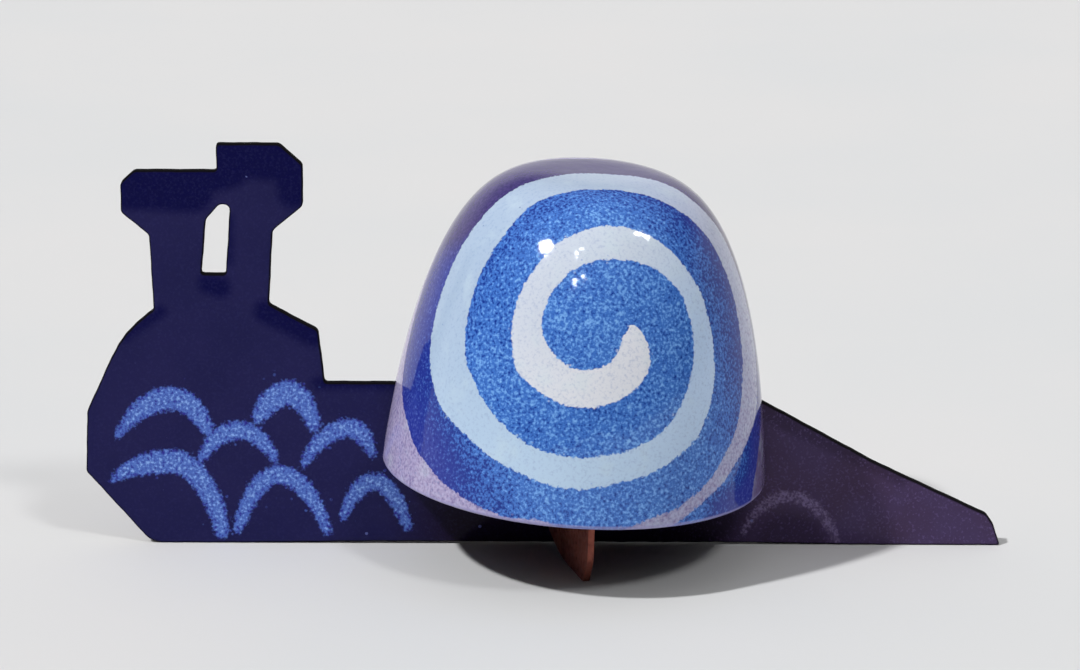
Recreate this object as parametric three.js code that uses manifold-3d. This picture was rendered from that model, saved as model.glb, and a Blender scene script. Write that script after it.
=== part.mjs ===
// An enamelled copper snail in three pieces. A flat sawn sheet stands on its lower edge and is the
// body, a spun cup hangs over it by two slots and is the shell, and a bare copper sheet crosses
// under the shell as a foot.
//
// Millimetres. X runs from the nose to the tip of the tail, Y from the front to the back and Z up.
// The origin is on the floor, under the middle of the snail's length.

import * as THREE from "three";
import { mergeVertices } from "three/addons/utils/BufferGeometryUtils.js";
import Module from "manifold-3d";

const wasm = await Module();
wasm.setup();

const degrees = THREE.MathUtils.degToRad;

// Clearances
const SEAT_GAP = 0.3; // between the body's top edge and the closed ends of the shell's slots
const SLOT_SIDE_GAP = 0.4; // between the body and each side of the shell's slots
const LAP_GAP = 0.3; // all round the halving of body and foot

// The shell, a spun cup upside down
const shell = {
  radius: 29.05, // at the rim, outside
  height: 46.3, // from the rim to the top, outside
  wall: 1.2, // copper with enamel on both sides
  taper: 0.145, // share of the radius that the wall draws in by, from rim to top
  sidePower: 3.93, // roundness of the profile across, where 2 is an ellipse
  crownPower: 2.31, // roundness of the profile upwards, where 2 is an ellipse
  rimHeight: 12.2, // middle of the rim above the floor
  lean: degrees(3.74), // towards the tail
  fromChest: 8.4, // along the back, from the snail's chest to the rim
  facets: 72,
  rings: 20,
};

// The body, one flat sheet. Runs go along X, rises and drops along Z.
const body = {
  thickness: 1.5, // copper with enamel on both faces
  edgeRound: 0.15, // the enamel's soft edge
  backHeight: 25.5, // level back, under the shell too
  bow: 0.3, // the lower edge clears the floor by this between its two lands
  bowRun: 20, // from each land to the full bow
  frontLand: 13, // the part of the lower edge that stands on the floor at the nose
  tailLand: 20, // the same at the tail
};
const nose = { cornerHeight: 11.4, flat: 9.5, lean: 0.4 };
const chin = { run: 9.7, round: 1.6 };
const brow = { run: 5.7, rise: 12.4, round: 4.6 };
const neck = {
  fromNose: 10.8,
  width: 17.3,
  frontBase: 36.8,
  backBase: 37.7,
  frontRise: 11.6,
  backRise: 11.4,
  frontFlare: -0.4, // the sawn edges lean a little
  backFlare: 0.7,
};
const lowHorn = { overhang: 4.1, underRise: 3.5, side: 4.4, cutRun: 2.1, cutRise: 2.0 };
const highHorn = { overhang: 4.6, underRise: 3.9, side: 6.3, cutRun: 3.5, cutRise: 3.1, top: 9.3 };
const chest = { run: 7.3, drop: 4.0, lean: 0.9 };
const eyelet = {
  fromNeck: 7.3,
  aboveBase: 5.6,
  width: 3.6, // at the sill
  frontSide: 8.4,
  sideLean: 0.8, // towards the tail, on both sides
  peak: 2.3, // above the front side
  peakWidth: 1.6,
  peakRound: 1.0,
};
const tail = {
  startInsideRim: 5.6, // the level back ends this far inside the shell's rim
  upperRun: 22.4,
  upperDrop: 12.5,
  lowerRun: 16.9,
  tipHeight: 4.9,
  bluntRun: 1.2,
  bluntDrop: 1.7,
  endRun: 1.0,
};
const SAWN_ROUND = 0.5; // cut-back of a plain sawn corner
const BOW_ROUND = 5; // cut-back where the lower edge starts to bow
const CURVE_STEPS = 4; // straight steps in each rounded corner

// The foot, a bare copper sheet across the body
const foot = {
  thickness: 1.0,
  edgeRound: 0.1,
  insideRim: 10.65, // along the foot, from its tips to the size of the shell's rim
  height: 16,
  lapHeight: 8, // in the halving the foot fills the space below, the body the space above
  turn: degrees(17), // off square to the body
  fromShellMiddle: -3.5,
  tipLand: 1.2, // flat end of each tip
  tipRound: 0.6,
  lowerFlare: 2.0, // the ends lean outwards by this over the lower flare's height
  lowerFlareHeight: 4,
  upperFlare: 0.8, // and by this from there to the top
  archRise: 3.0, // underside at the body
  archSpring: 6, // from the body to where each side of the arch turns up
  archSpringHeight: 0.15,
  archRound: 4.5,
};

// Places along X, measured from the nose
const chestX = neck.fromNose + neck.width + chest.run;
const backStartX = chestX + chest.lean;
const shellX = backStartX + shell.fromChest + shell.radius;
const tailStartX = shellX + shell.radius - tail.startInsideRim;
const tailBendX = tailStartX + tail.upperRun;
const tailTipX = tailBendX + tail.lowerRun;
const bodyLength = tailTipX + tail.bluntRun + tail.endRun;
const footX = shellX + foot.fromShellMiddle;

const enamelNavy = new THREE.MeshStandardMaterial({ color: 0x231e55, roughness: 0.2 });
const enamelBlue = new THREE.MeshStandardMaterial({ color: 0x5a86d8, roughness: 0.1 });
const bareCopper = new THREE.MeshStandardMaterial({
  color: 0x8a5240,
  roughness: 0.4,
  metalness: 0.9,
});

// Draws a closed path through corners [x, z, cut-back], each rounded over its cut-back.
function roundedPath(path, corners) {
  const points = corners.map(([x, z]) => new THREE.Vector2(x, z));
  corners.forEach(([, , cutBack], i) => {
    const corner = points[i];
    const before = points.at(i - 1);
    const after = points[(i + 1) % points.length];
    const enter = corner.clone().lerp(before, cutBack / corner.distanceTo(before));
    const leave = corner.clone().lerp(after, cutBack / corner.distanceTo(after));
    if (i === 0) path.moveTo(enter.x, enter.y);
    else path.lineTo(enter.x, enter.y);
    path.quadraticCurveTo(corner.x, corner.y, leave.x, leave.y);
  });
  path.closePath();
  return path;
}

// A sheet of the outline's shape that stands on its edge, centred on Y = 0.
function standingSheet(outline, thickness, edgeRound) {
  const sheet = new THREE.ExtrudeGeometry(outline, {
    depth: thickness - 2 * edgeRound,
    curveSegments: CURVE_STEPS,
    bevelSize: edgeRound,
    bevelThickness: edgeRound,
    bevelOffset: -edgeRound,
    bevelSegments: 2,
  });
  sheet.translate(0, 0, edgeRound - thickness / 2);
  sheet.rotateX(Math.PI / 2);
  return sheet;
}

// Width of the halving slot in one sheet, which lets the other through at the foot's angle.
function lapSlotWidth(ownThickness, crossingThickness) {
  const across = crossingThickness / Math.cos(foot.turn);
  const skew = ownThickness * Math.tan(foot.turn);
  return across + skew + 2 * LAP_GAP;
}

function noseCorners() {
  const noseTop = nose.cornerHeight + nose.flat;
  return [
    [chin.run, 0, chin.round],
    [0, nose.cornerHeight, SAWN_ROUND],
    [nose.lean, noseTop, SAWN_ROUND],
    [nose.lean + brow.run, noseTop + brow.rise, brow.round],
  ];
}

// The neck and the two joined horns, the lower one nearer the nose.
function neckAndHornCorners() {
  const frontTop = neck.frontBase + neck.frontRise;
  const backTop = neck.backBase + neck.backRise;
  const neckBackX = neck.fromNose + neck.width;
  const frontTopX = neck.fromNose + neck.frontFlare;
  const backTopX = neckBackX + neck.backFlare;
  const lowSideX = frontTopX - lowHorn.overhang;
  const lowSideTop = frontTop + lowHorn.underRise + lowHorn.side;
  const lowTop = lowSideTop + lowHorn.cutRise;
  const highSideX = backTopX + highHorn.overhang;
  const highSideTop = backTop + highHorn.underRise + highHorn.side;
  const highTop = highSideTop + highHorn.cutRise;
  const highTopX = highSideX - highHorn.cutRun;
  const stepX = highTopX - highHorn.top;
  return [
    [neck.fromNose, neck.frontBase, SAWN_ROUND],
    [frontTopX, frontTop, SAWN_ROUND],
    [lowSideX, frontTop + lowHorn.underRise, SAWN_ROUND],
    [lowSideX, lowSideTop, SAWN_ROUND],
    [lowSideX + lowHorn.cutRun, lowTop, SAWN_ROUND],
    [stepX, lowTop, SAWN_ROUND],
    [stepX, highTop, SAWN_ROUND],
    [highTopX, highTop, SAWN_ROUND],
    [highSideX, highSideTop, SAWN_ROUND],
    [highSideX, backTop + highHorn.underRise, SAWN_ROUND],
    [backTopX, backTop, SAWN_ROUND],
    [neckBackX, neck.backBase, SAWN_ROUND],
  ];
}

function backAndTailCorners() {
  return [
    [chestX, neck.backBase - chest.drop, SAWN_ROUND],
    [backStartX, body.backHeight, SAWN_ROUND],
    [tailStartX, body.backHeight, SAWN_ROUND],
    [tailBendX, body.backHeight - tail.upperDrop, SAWN_ROUND],
    [tailTipX, tail.tipHeight, SAWN_ROUND],
    [tailTipX + tail.bluntRun, tail.tipHeight - tail.bluntDrop, SAWN_ROUND],
    [bodyLength, 0, SAWN_ROUND],
  ];
}

// The lower edge, from tail to nose, with its bow and the slot that takes the foot.
function lowerEdgeCorners() {
  const tailLandX = bodyLength - body.tailLand;
  const frontLandX = chin.run + body.frontLand;
  const slotHalf = lapSlotWidth(body.thickness, foot.thickness) / 2;
  const slotTop = foot.lapHeight + LAP_GAP;
  return [
    [tailLandX, 0, BOW_ROUND],
    [tailLandX - body.bowRun, body.bow, BOW_ROUND],
    [footX + slotHalf, body.bow, SAWN_ROUND],
    [footX + slotHalf, slotTop, SAWN_ROUND],
    [footX - slotHalf, slotTop, SAWN_ROUND],
    [footX - slotHalf, body.bow, SAWN_ROUND],
    [frontLandX + body.bowRun, body.bow, BOW_ROUND],
    [frontLandX, 0, BOW_ROUND],
  ];
}

// The narrow opening between the horns, with a lopsided peak.
function eyeletCorners() {
  const left = neck.fromNose + eyelet.fromNeck;
  const right = left + eyelet.width;
  const sill = neck.frontBase + eyelet.aboveBase;
  const sideTop = sill + eyelet.frontSide;
  const peak = sideTop + eyelet.peak;
  return [
    [left, sill, SAWN_ROUND],
    [right, sill, SAWN_ROUND],
    [right + eyelet.sideLean, peak, eyelet.peakRound],
    [right + eyelet.sideLean - eyelet.peakWidth, peak, SAWN_ROUND],
    [left + eyelet.sideLean, sideTop, SAWN_ROUND],
  ];
}

function bodyPlate() {
  const outline = roundedPath(new THREE.Shape(), [
    ...noseCorners(),
    ...neckAndHornCorners(),
    ...backAndTailCorners(),
    ...lowerEdgeCorners(),
  ]);
  outline.holes.push(roundedPath(new THREE.Path(), eyeletCorners()));
  const mesh = new THREE.Mesh(standingSheet(outline, body.thickness, body.edgeRound), enamelNavy);
  mesh.name = "body_plate";
  mesh.position.x = -bodyLength / 2;
  return mesh;
}

// Half of the foot's corners, from one tip over the top to the halving, on the given side.
function footSide(side) {
  const tip = shell.radius - foot.insideRim;
  const slotHalf = lapSlotWidth(foot.thickness, body.thickness) / 2;
  return [
    [side * foot.archSpring, foot.archSpringHeight, foot.archRound],
    [side * (tip - foot.tipLand), 0, SAWN_ROUND],
    [side * tip, 0, foot.tipRound],
    [side * (tip + foot.lowerFlare), foot.lowerFlareHeight, foot.tipRound],
    [side * (tip + foot.lowerFlare + foot.upperFlare), foot.height, foot.tipRound],
    [side * slotHalf, foot.height, SAWN_ROUND],
    [side * slotHalf, foot.lapHeight, SAWN_ROUND],
  ];
}

function crossFoot() {
  const outline = roundedPath(new THREE.Shape(), [
    [0, foot.archRise, SAWN_ROUND],
    ...footSide(1),
    ...footSide(-1).reverse(),
  ]);
  const mesh = new THREE.Mesh(standingSheet(outline, foot.thickness, foot.edgeRound), bareCopper);
  mesh.name = "cross_foot";
  mesh.position.x = footX - bodyLength / 2;
  mesh.rotation.z = foot.turn - Math.PI / 2;
  return mesh;
}

// A point of the shell's outer profile as (radius, height), from share 0 at the top to 1 at the rim.
function outerPoint(share) {
  const angle = (share * Math.PI) / 2;
  const rise = Math.cos(angle) ** (2 / shell.crownPower);
  const reach = Math.sin(angle) ** (2 / shell.sidePower);
  return new THREE.Vector2(shell.radius * reach * (1 - shell.taper * rise), shell.height * rise);
}

// The point of the inner profile one wall thickness inside it, square to the outer profile.
function innerPoint(share) {
  const step = 1e-3;
  const along = outerPoint(Math.min(share + step, 1)).sub(outerPoint(Math.max(share - step, 0)));
  const inward = new THREE.Vector2(along.y, -along.x).setLength(shell.wall);
  const point = outerPoint(share).add(inward);
  if (share === 0) point.x = 0;
  if (share === 1) point.y = 0;
  return point;
}

// Outer radius of the shell at a height above its rim.
function outerRadiusAt(height) {
  const angle = Math.acos((height / shell.height) ** (shell.crownPower / 2));
  return outerPoint(angle / (Math.PI / 2)).x;
}

// Height of the body's top edge above the floor, from the start of the level back to the tail.
function bodyTopAt(x) {
  const edge = backAndTailCorners();
  const i = edge.findIndex(([edgeX]) => edgeX > x);
  const [beforeX, beforeZ] = edge[i - 1];
  const [afterX, afterZ] = edge[i];
  return THREE.MathUtils.mapLinear(x, beforeX, afterX, beforeZ, afterZ);
}

// Height of a slot's closed end above the rim, on the nose's side (-1) or the tail's side (1).
// The end lies on the body's top edge, so it is worked out where the wall crosses that edge.
function slotHeight(side) {
  const tries = 5;
  let height = 0;
  for (let i = 0; i < tries; i += 1) {
    const outside = outerRadiusAt(height);
    const edgeHeights = [outside, outside - shell.wall].map((radius) => {
      const run = side * radius * Math.cos(shell.lean) + height * Math.sin(shell.lean);
      const rise = bodyTopAt(shellX + run) - shell.rimHeight;
      return run * Math.sin(shell.lean) + rise * Math.cos(shell.lean);
    });
    height = Math.max(...edgeHeights) + SEAT_GAP;
  }
  return height;
}

// A closed geometry as a solid that can be cut.
function solidOf(geometry) {
  const bare = geometry.clone();
  bare.deleteAttribute("normal");
  bare.deleteAttribute("uv");
  const merged = mergeVertices(bare);
  const corners = merged.index.array;
  const kept = [];
  for (let i = 0; i < corners.length; i += 3) {
    const [a, b, c] = corners.slice(i, i + 3);
    if (a !== b && b !== c && c !== a) kept.push(a, b, c);
  }
  return new wasm.Manifold(
    new wasm.Mesh({
      numProp: 3,
      vertProperties: merged.attributes.position.array,
      triVerts: new Uint32Array(kept),
    }),
  );
}

function geometryOf(solid) {
  const { vertProperties, triVerts } = solid.getMesh();
  const geometry = new THREE.BufferGeometry();
  geometry.setAttribute("position", new THREE.BufferAttribute(vertProperties, 3));
  geometry.setIndex(new THREE.BufferAttribute(triVerts, 1));
  geometry.computeVertexNormals();
  return geometry;
}

// The cup with its rim at Z = 0: the inner profile from the top to the rim and the outer one back.
function cup() {
  const shares = Array.from({ length: shell.rings + 1 }, (_, i) => i / shell.rings);
  const profile = [...shares.map(innerPoint), ...shares.map(outerPoint).reverse()];
  const geometry = new THREE.LatheGeometry(profile, shell.facets);
  geometry.rotateX(Math.PI / 2);
  return solidOf(geometry);
}

// The space of one slot, from the cup's axis out through its wall and down through its rim.
function slotSpace(side) {
  const past = shell.wall;
  const length = shell.radius + past;
  const height = slotHeight(side) + past;
  const space = new THREE.BoxGeometry(length, body.thickness + 2 * SLOT_SIDE_GAP, height);
  space.translate((side * length) / 2, 0, height / 2 - past);
  return solidOf(space);
}

function shellCup() {
  const slotted = cup().subtract(slotSpace(-1)).subtract(slotSpace(1));
  const mesh = new THREE.Mesh(geometryOf(slotted), enamelBlue);
  mesh.name = "shell";
  mesh.position.set(shellX - bodyLength / 2, 0, shell.rimHeight);
  mesh.rotation.y = shell.lean;
  return mesh;
}

const snail = new THREE.Group();
snail.add(bodyPlate(), crossFoot(), shellCup());

export default snail;
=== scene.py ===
"""The look of the enamelled copper snail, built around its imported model."""

import math

import bmesh
import bpy
import numpy as np
from mathutils import Matrix, Vector
from mathutils.geometry import delaunay_2d_cdt
from mathutils.kdtree import KDTree


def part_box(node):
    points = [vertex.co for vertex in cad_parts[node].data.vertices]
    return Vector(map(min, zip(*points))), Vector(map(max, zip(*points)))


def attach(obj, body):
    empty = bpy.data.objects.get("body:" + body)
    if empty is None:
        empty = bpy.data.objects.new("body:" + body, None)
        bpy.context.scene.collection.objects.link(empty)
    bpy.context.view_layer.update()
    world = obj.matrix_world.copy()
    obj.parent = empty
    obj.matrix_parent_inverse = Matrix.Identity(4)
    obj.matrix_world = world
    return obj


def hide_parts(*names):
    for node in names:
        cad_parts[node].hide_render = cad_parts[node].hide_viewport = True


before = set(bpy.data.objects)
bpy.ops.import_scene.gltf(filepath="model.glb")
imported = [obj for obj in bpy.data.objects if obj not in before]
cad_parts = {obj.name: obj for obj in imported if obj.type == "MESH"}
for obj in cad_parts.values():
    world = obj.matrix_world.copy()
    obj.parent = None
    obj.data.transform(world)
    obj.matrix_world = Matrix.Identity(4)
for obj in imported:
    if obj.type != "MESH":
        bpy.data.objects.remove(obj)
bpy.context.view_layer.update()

# Named lengths are in millimetres and named angles in degrees.

MM = 0.001

# Two places no further apart than this count as the same
TOUCH = 0.01


def mm_box(node):
    """The lowest and highest corner of a CAD node."""
    low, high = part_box(node)
    return np.array(low) / MM, np.array(high) / MM


def add_object(name, data):
    """Puts a mesh, a lamp or a camera into the scene."""
    made = bpy.data.objects.new(name, data)
    bpy.context.scene.collection.objects.link(made)
    return made


# Colours

def linear(red, green, blue):
    """A colour given from 0 to 255 as a screen shows it, as the shader needs it."""
    shares = [value / 255 for value in (red, green, blue)]
    bent = [v / 12.92 if v <= 0.04045 else ((v + 0.055) / 1.055) ** 2.4 for v in shares]
    return (*bent, 1.0)


def grey(level):
    """A grey light of that strength."""
    return (level, level, level, 1.0)


# The photograph's view

VIEW_TARGET = (-0.72, 0.0, 32.92)
VIEW_DISTANCE = 600.0
VIEW_ELEVATION = 16.45
VIEW_ROLL = 0.19
VIEW_LENS = 133.33
VIEW_NEAREST = 10.0
VIEW_FURTHEST = 30000.0
SENSOR_WIDTH = 36.0


def add_camera():
    """A long lens in front of the snail and a little above it."""
    data = bpy.data.cameras.new("photo_view")
    data.sensor_width = SENSOR_WIDTH
    data.lens = VIEW_LENS
    data.clip_start = VIEW_NEAREST * MM
    data.clip_end = VIEW_FURTHEST * MM
    camera = add_object("photo_view", data)
    elevation = math.radians(VIEW_ELEVATION)
    x, y, z = VIEW_TARGET
    place = Vector((
        x,
        y - VIEW_DISTANCE * math.cos(elevation),
        z + VIEW_DISTANCE * math.sin(elevation),
    ))
    pitch = Matrix.Rotation(math.pi / 2 - elevation, 4, "X")
    roll = Matrix.Rotation(math.radians(VIEW_ROLL), 4, "Z")
    camera.matrix_world = Matrix.Translation(place * MM) @ pitch @ roll
    bpy.context.scene.camera = camera


# Shader nodes

# How far one whole seed moves a texture
SEED_MOVE = (31.7, 17.3, 23.9)

# What makes Blender's noise, which lies around a half, swing from about -1 to 1
NOISE_MIDDLE = 0.5
NOISE_GAIN = 3.0

# A speck's size, its largest radius and the width of its soft edge, as shares of its cell
SPECK_SIZE = 0.4
SPECK_RADIUS = 0.3
SPECK_EDGE = 0.1

# How deep the relief of every material is
RELIEF_DEPTH = 0.02


class Nodes:
    """A small hand for building one node tree."""

    def __init__(self, tree):
        self.tree = tree
        self.tree.nodes.clear()

    def add(self, kind, **settings):
        """A new node of that kind, with its plain settings."""
        made = self.tree.nodes.new("ShaderNode" + kind)
        for name, value in settings.items():
            setattr(made, name, value)
        return made

    def set(self, socket, value):
        """Sets a socket to a number or a colour, or links it to another node's output."""
        if isinstance(value, bpy.types.NodeSocket):
            self.tree.links.new(value, socket)
        else:
            socket.default_value = value

    def math(self, operation, first, second):
        """What Blender's operation of that name makes of two numbers."""
        made = self.add("Math", operation=operation)
        self.set(made.inputs[0], first)
        self.set(made.inputs[1], second)
        return made.outputs[0]

    def product(self, first, second):
        return self.math("MULTIPLY", first, second)

    def plus(self, value, *parts):
        """A value with a share of each other value added to it."""
        for part, share in parts:
            value = self.math("ADD", value, self.product(part, share))
        return value

    def step(self, value, start, end, low=0.0, high=1.0):
        """A smooth step from low to high while the value goes from start to end."""
        made = self.add("MapRange", interpolation_type="SMOOTHSTEP")
        for socket, number in zip(made.inputs, (value, start, end, low, high)):
            self.set(socket, number)
        return made.outputs[0]

    def mix(self, share, first, second):
        """A blend of two colours."""
        made = self.add("Mix", data_type="RGBA")
        self.set(made.inputs["Factor"], share)
        self.set(made.inputs[6], first)
        self.set(made.inputs[7], second)
        return made.outputs[2]


class Shader(Nodes):
    """The nodes of one material."""

    def __init__(self, name):
        self.material = bpy.data.materials.new(name)
        self.material.use_nodes = True
        super().__init__(self.material.node_tree)
        coordinates = self.add("TexCoord")
        scale = self.add("VectorMath", operation="SCALE")
        scale.inputs["Scale"].default_value = 1 / MM
        self.tree.links.new(coordinates.outputs["Object"], scale.inputs[0])
        self.place = scale.outputs[0]

    def attribute(self, name):
        """A number that the mesh carries at each point."""
        return self.add("Attribute", attribute_name=name).outputs["Fac"]

    def ramp(self, value, stops):
        """A colour that changes along a value, by stops of a place from 0 to 1 and a colour."""
        made = self.add("ValToRGB")
        made.color_ramp.interpolation = "EASE"
        elements = made.color_ramp.elements
        while len(elements) < len(stops):
            elements.new(1.0)
        for element, (at, colour) in zip(elements, stops):
            element.position = at
            element.color = colour
        self.set(made.inputs[0], value)
        return made.outputs["Color"]

    def shifted(self, seed):
        """The place on the mesh in millimetres, moved by a seed."""
        made = self.add("VectorMath", operation="ADD")
        self.set(made.inputs[0], self.place)
        made.inputs[1].default_value = [move * seed for move in SEED_MOVE]
        return made.outputs[0]

    def noise(self, size, detail=2.0, roughness=0.5, seed=0.0):
        """Soft noise around 0, mostly from -1 to 1, with features of about that size."""
        made = self.add("TexNoise")
        made.inputs["Scale"].default_value = 1 / size
        made.inputs["Detail"].default_value = detail
        made.inputs["Roughness"].default_value = roughness
        self.set(made.inputs["Vector"], self.shifted(seed))
        centred = self.math("SUBTRACT", made.outputs["Fac"], NOISE_MIDDLE)
        return self.product(centred, NOISE_GAIN)

    def specks(self, size, share, seed=0.0):
        """Sparse round specks: 1 inside a speck and 0 elsewhere, in that share of the cells."""
        made = self.add("TexVoronoi")
        made.inputs["Scale"].default_value = SPECK_SIZE / size
        self.set(made.inputs["Vector"], self.shifted(seed))
        parts = self.add("SeparateColor")
        self.tree.links.new(made.outputs["Color"], parts.inputs[0])
        chosen = self.math("LESS_THAN", parts.outputs[0], share)
        radius = self.product(parts.outputs[1], SPECK_RADIUS)
        beyond = self.math("SUBTRACT", made.outputs["Distance"], radius)
        return self.product(chosen, self.step(beyond, 0.0, SPECK_EDGE, 1.0, 0.0))

    def bump(self, height, strength):
        """A shallow relief that follows a height."""
        made = self.add("Bump")
        made.inputs["Strength"].default_value = strength
        made.inputs["Distance"].default_value = RELIEF_DEPTH * MM
        self.set(made.inputs["Height"], height)
        return made.outputs[0]

    def surface(self, **settings):
        """The finished material, whose surface has these settings."""
        made = self.add("BsdfPrincipled")
        for name, value in settings.items():
            self.set(made.inputs[name.replace("_", " ")], value)
        output = self.add("OutputMaterial")
        self.tree.links.new(made.outputs[0], output.inputs["Surface"])
        return self.material


# Fields over a mesh's points

# How deep a point that no band or scallop reaches counts as lying in it
FAR_OUTSIDE = -50.0


def smooth_share(value, start, end):
    """A smooth step on an array, from 0 at the start to 1 at the end, up or down."""
    share = np.clip((value - start) / (end - start), 0, 1)
    return share * share * (3 - 2 * share)


def zone(measures, reaches):
    """The product of one smooth step, from its start to its end, along each named measure."""
    share = 1.0
    for name, (start, end) in reaches.items():
        share = share * smooth_share(measures[name], start, end)
    return share


def smooth_curve(at, places, values):
    """A smooth line through the values, with no overshoot between them."""
    gaps = np.diff(places)
    slopes = np.diff(values) / gaps
    tangents = np.zeros(len(values))
    for index in range(1, len(values) - 1):
        before, after = slopes[index - 1], slopes[index]
        if before * after > 0:
            tangents[index] = 2 * before * after / (before + after)
    found = np.clip(np.searchsorted(places, at) - 1, 0, len(gaps) - 1)
    gap = gaps[found]
    share = np.clip((at - places[found]) / gap, 0, 1)
    square, cube = share**2, share**3
    return (
        (2 * cube - 3 * square + 1) * values[found]
        + (cube - 2 * square + share) * gap * tangents[found]
        + (3 * square - 2 * cube) * values[found + 1]
        + (cube - square) * gap * tangents[found + 1]
    )


def stroke_depth(flat, start, end, start_half, end_half):
    """How far each point lies inside a straight stroke with round ends."""
    start, end = np.array(start), np.array(end)
    along = end - start
    part = np.clip(((flat - start) @ along) / (along @ along), 0, 1)
    gap = np.linalg.norm(flat - start - part[:, None] * along, axis=1)
    return start_half + (end_half - start_half) * part - gap


# Sheet metal

# The least that a corner's move is divided by, so that a sharp one doesn't run far in
SHARPEST_CORNER = 0.4

# How near to the edge a point of the flat face may lie, as a share of the mesh's pitch
EDGE_CLEARANCE = 0.45


def drawn_pitch(pitch):
    """How far apart a mesh's points lie in this run."""
    return pitch * 1.0


def spread(points, pitch):
    """A closed outline with points no further apart than the pitch, and its own points kept."""
    found = []
    for start, end in zip(points, np.roll(points, -1, axis=0)):
        count = max(1, math.ceil(np.linalg.norm(end - start) / pitch))
        for step in range(count):
            found.append(start + (end - start) * step / count)
    return np.array(found)


def shrink(points, inset):
    """A closed outline moved towards its metal, which lies on its left."""
    before = points - np.roll(points, 1, axis=0)
    after = np.roll(points, -1, axis=0) - points
    before /= np.linalg.norm(before, axis=1, keepdims=True)
    after /= np.linalg.norm(after, axis=1, keepdims=True)
    left = np.column_stack([-before[:, 1], before[:, 0]])
    right = np.column_stack([-after[:, 1], after[:, 0]])
    share = 1 + (left * right).sum(axis=1, keepdims=True)
    return points + inset * (left + right) / np.maximum(share, SHARPEST_CORNER)


def inside(points, loops):
    """True for each point that lies in the metal between the outlines."""
    crossed = np.zeros(len(points), bool)
    for loop in loops:
        for (ax, ay), (bx, by) in zip(loop, np.roll(loop, -1, axis=0)):
            if ay == by:
                continue
            spans = (ay > points[:, 1]) != (by > points[:, 1])
            crossed ^= spans & (points[:, 0] < ax + (points[:, 1] - ay) * (bx - ax) / (by - ay))
    return crossed


def signed_area(points):
    """The area within a closed outline, below 0 where it runs clockwise."""
    after = np.roll(points, -1, axis=0)
    return 0.5 * (points[:, 0] * after[:, 1] - after[:, 0] * points[:, 1]).sum()


def far_from(points, others, distance):
    """True for each point with none of the others nearer than the distance."""
    tree = KDTree(len(others))
    for index, other in enumerate(others):
        tree.insert((other[0], other[1], 0), index)
    tree.balance()
    return np.array([tree.find((p[0], p[1], 0))[2] >= distance for p in points])


def triangulate(loops, border, fill):
    """The triangles between the outlines, as numbers of points of the border and the fill."""
    points = [Vector(point) for point in np.vstack([border, fill])]
    edges = []
    first = 0
    for loop in loops:
        count = len(loop)
        edges.extend((first + here, first + (here + 1) % count) for here in range(count))
        first += count
    whole_hull, same_point, with_sources = 0, 1e-7, True
    made = delaunay_2d_cdt(points, edges, [], whole_hull, same_point, with_sources)
    flat = np.array([list(point) for point in made[0]])
    corners = np.array([list(face) for face in made[2]])
    sources = [found[0] for found in made[3]]
    turned = []
    for corner in corners[inside(flat[corners].mean(axis=1), loops)]:
        a, b, c = flat[corner]
        area = (b[0] - a[0]) * (c[1] - a[1]) - (c[0] - a[0]) * (b[1] - a[1])
        order = corner if area > 0 else corner[::-1]
        turned.append([sources[index] for index in order])
    return turned


class Sheet:
    """A flat sheet with rounded edges: its points as along, up and level, and its faces.

    outline(inset) gives its closed outlines and filling the points between them. It is twice
    the half thick, and no point of the filling lies nearer than clear to the edge.
    """

    EDGE_RINGS = 4

    def __init__(self, outline, filling, half, edge_round, clear):
        turns = np.linspace(0, math.pi / 2, self.EDGE_RINGS + 1)
        rings = [outline(edge_round * (1 - math.cos(turn))) for turn in turns]
        levels = [half - edge_round + edge_round * math.sin(turn) for turn in turns]
        self.flat = []
        self.level = []
        self.faces = []
        self.loops = rings[0]
        self.starts = {}
        for side in (1, -1):
            for ring, (loops, level) in enumerate(zip(rings, levels)):
                self.starts[side, ring] = len(self.level)
                self.add_points(np.vstack(loops), side * level)
        self.join_rings()
        self.fill_faces(rings[-1], filling, half, clear)
        self.flat = np.array(self.flat)
        self.level = np.array(self.level)

    def add_points(self, flat, level):
        self.flat.extend(flat)
        self.level.extend([level] * len(flat))

    def join_rings(self):
        """The faces round the edge, from one side's flat face to the other's."""
        starts = self.starts
        self.join(starts[-1, 0], starts[1, 0])
        for ring in range(self.EDGE_RINGS):
            self.join(starts[1, ring], starts[1, ring + 1])
            self.join(starts[-1, ring + 1], starts[-1, ring])

    def join(self, lower, upper):
        """A strip of faces between two rings of the edge."""
        for loop in self.loops:
            count = len(loop)
            for here in range(count):
                there = (here + 1) % count
                self.faces.append([lower + here, lower + there, upper + there, upper + here])
            lower += count
            upper += count

    def fill_faces(self, loops, filling, half, clear):
        """The two flat faces within the edge's last ring."""
        border = np.vstack(loops)
        fill = filling[inside(filling, loops)]
        fill = fill[far_from(fill, border, clear)]
        corners = triangulate(loops, border, fill)
        for side in (1, -1):
            first = len(self.level)
            self.add_points(fill, side * half)
            edge = self.starts[side, self.EDGE_RINGS]
            for corner in corners:
                face = [edge + c if c < len(border) else first + c - len(border) for c in corner]
                self.faces.append(face if side > 0 else face[::-1])

    def edge_distance(self, points):
        """How far each placed point lies from the placed outlines of the two sides."""
        count = sum(len(loop) for loop in self.loops)
        tree = KDTree(2 * count)
        for first in (self.starts[1, 0], self.starts[-1, 0]):
            for index in range(first, first + count):
                tree.insert(points[index], index)
        tree.balance()
        return np.array([tree.find(point)[2] for point in points])


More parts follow.
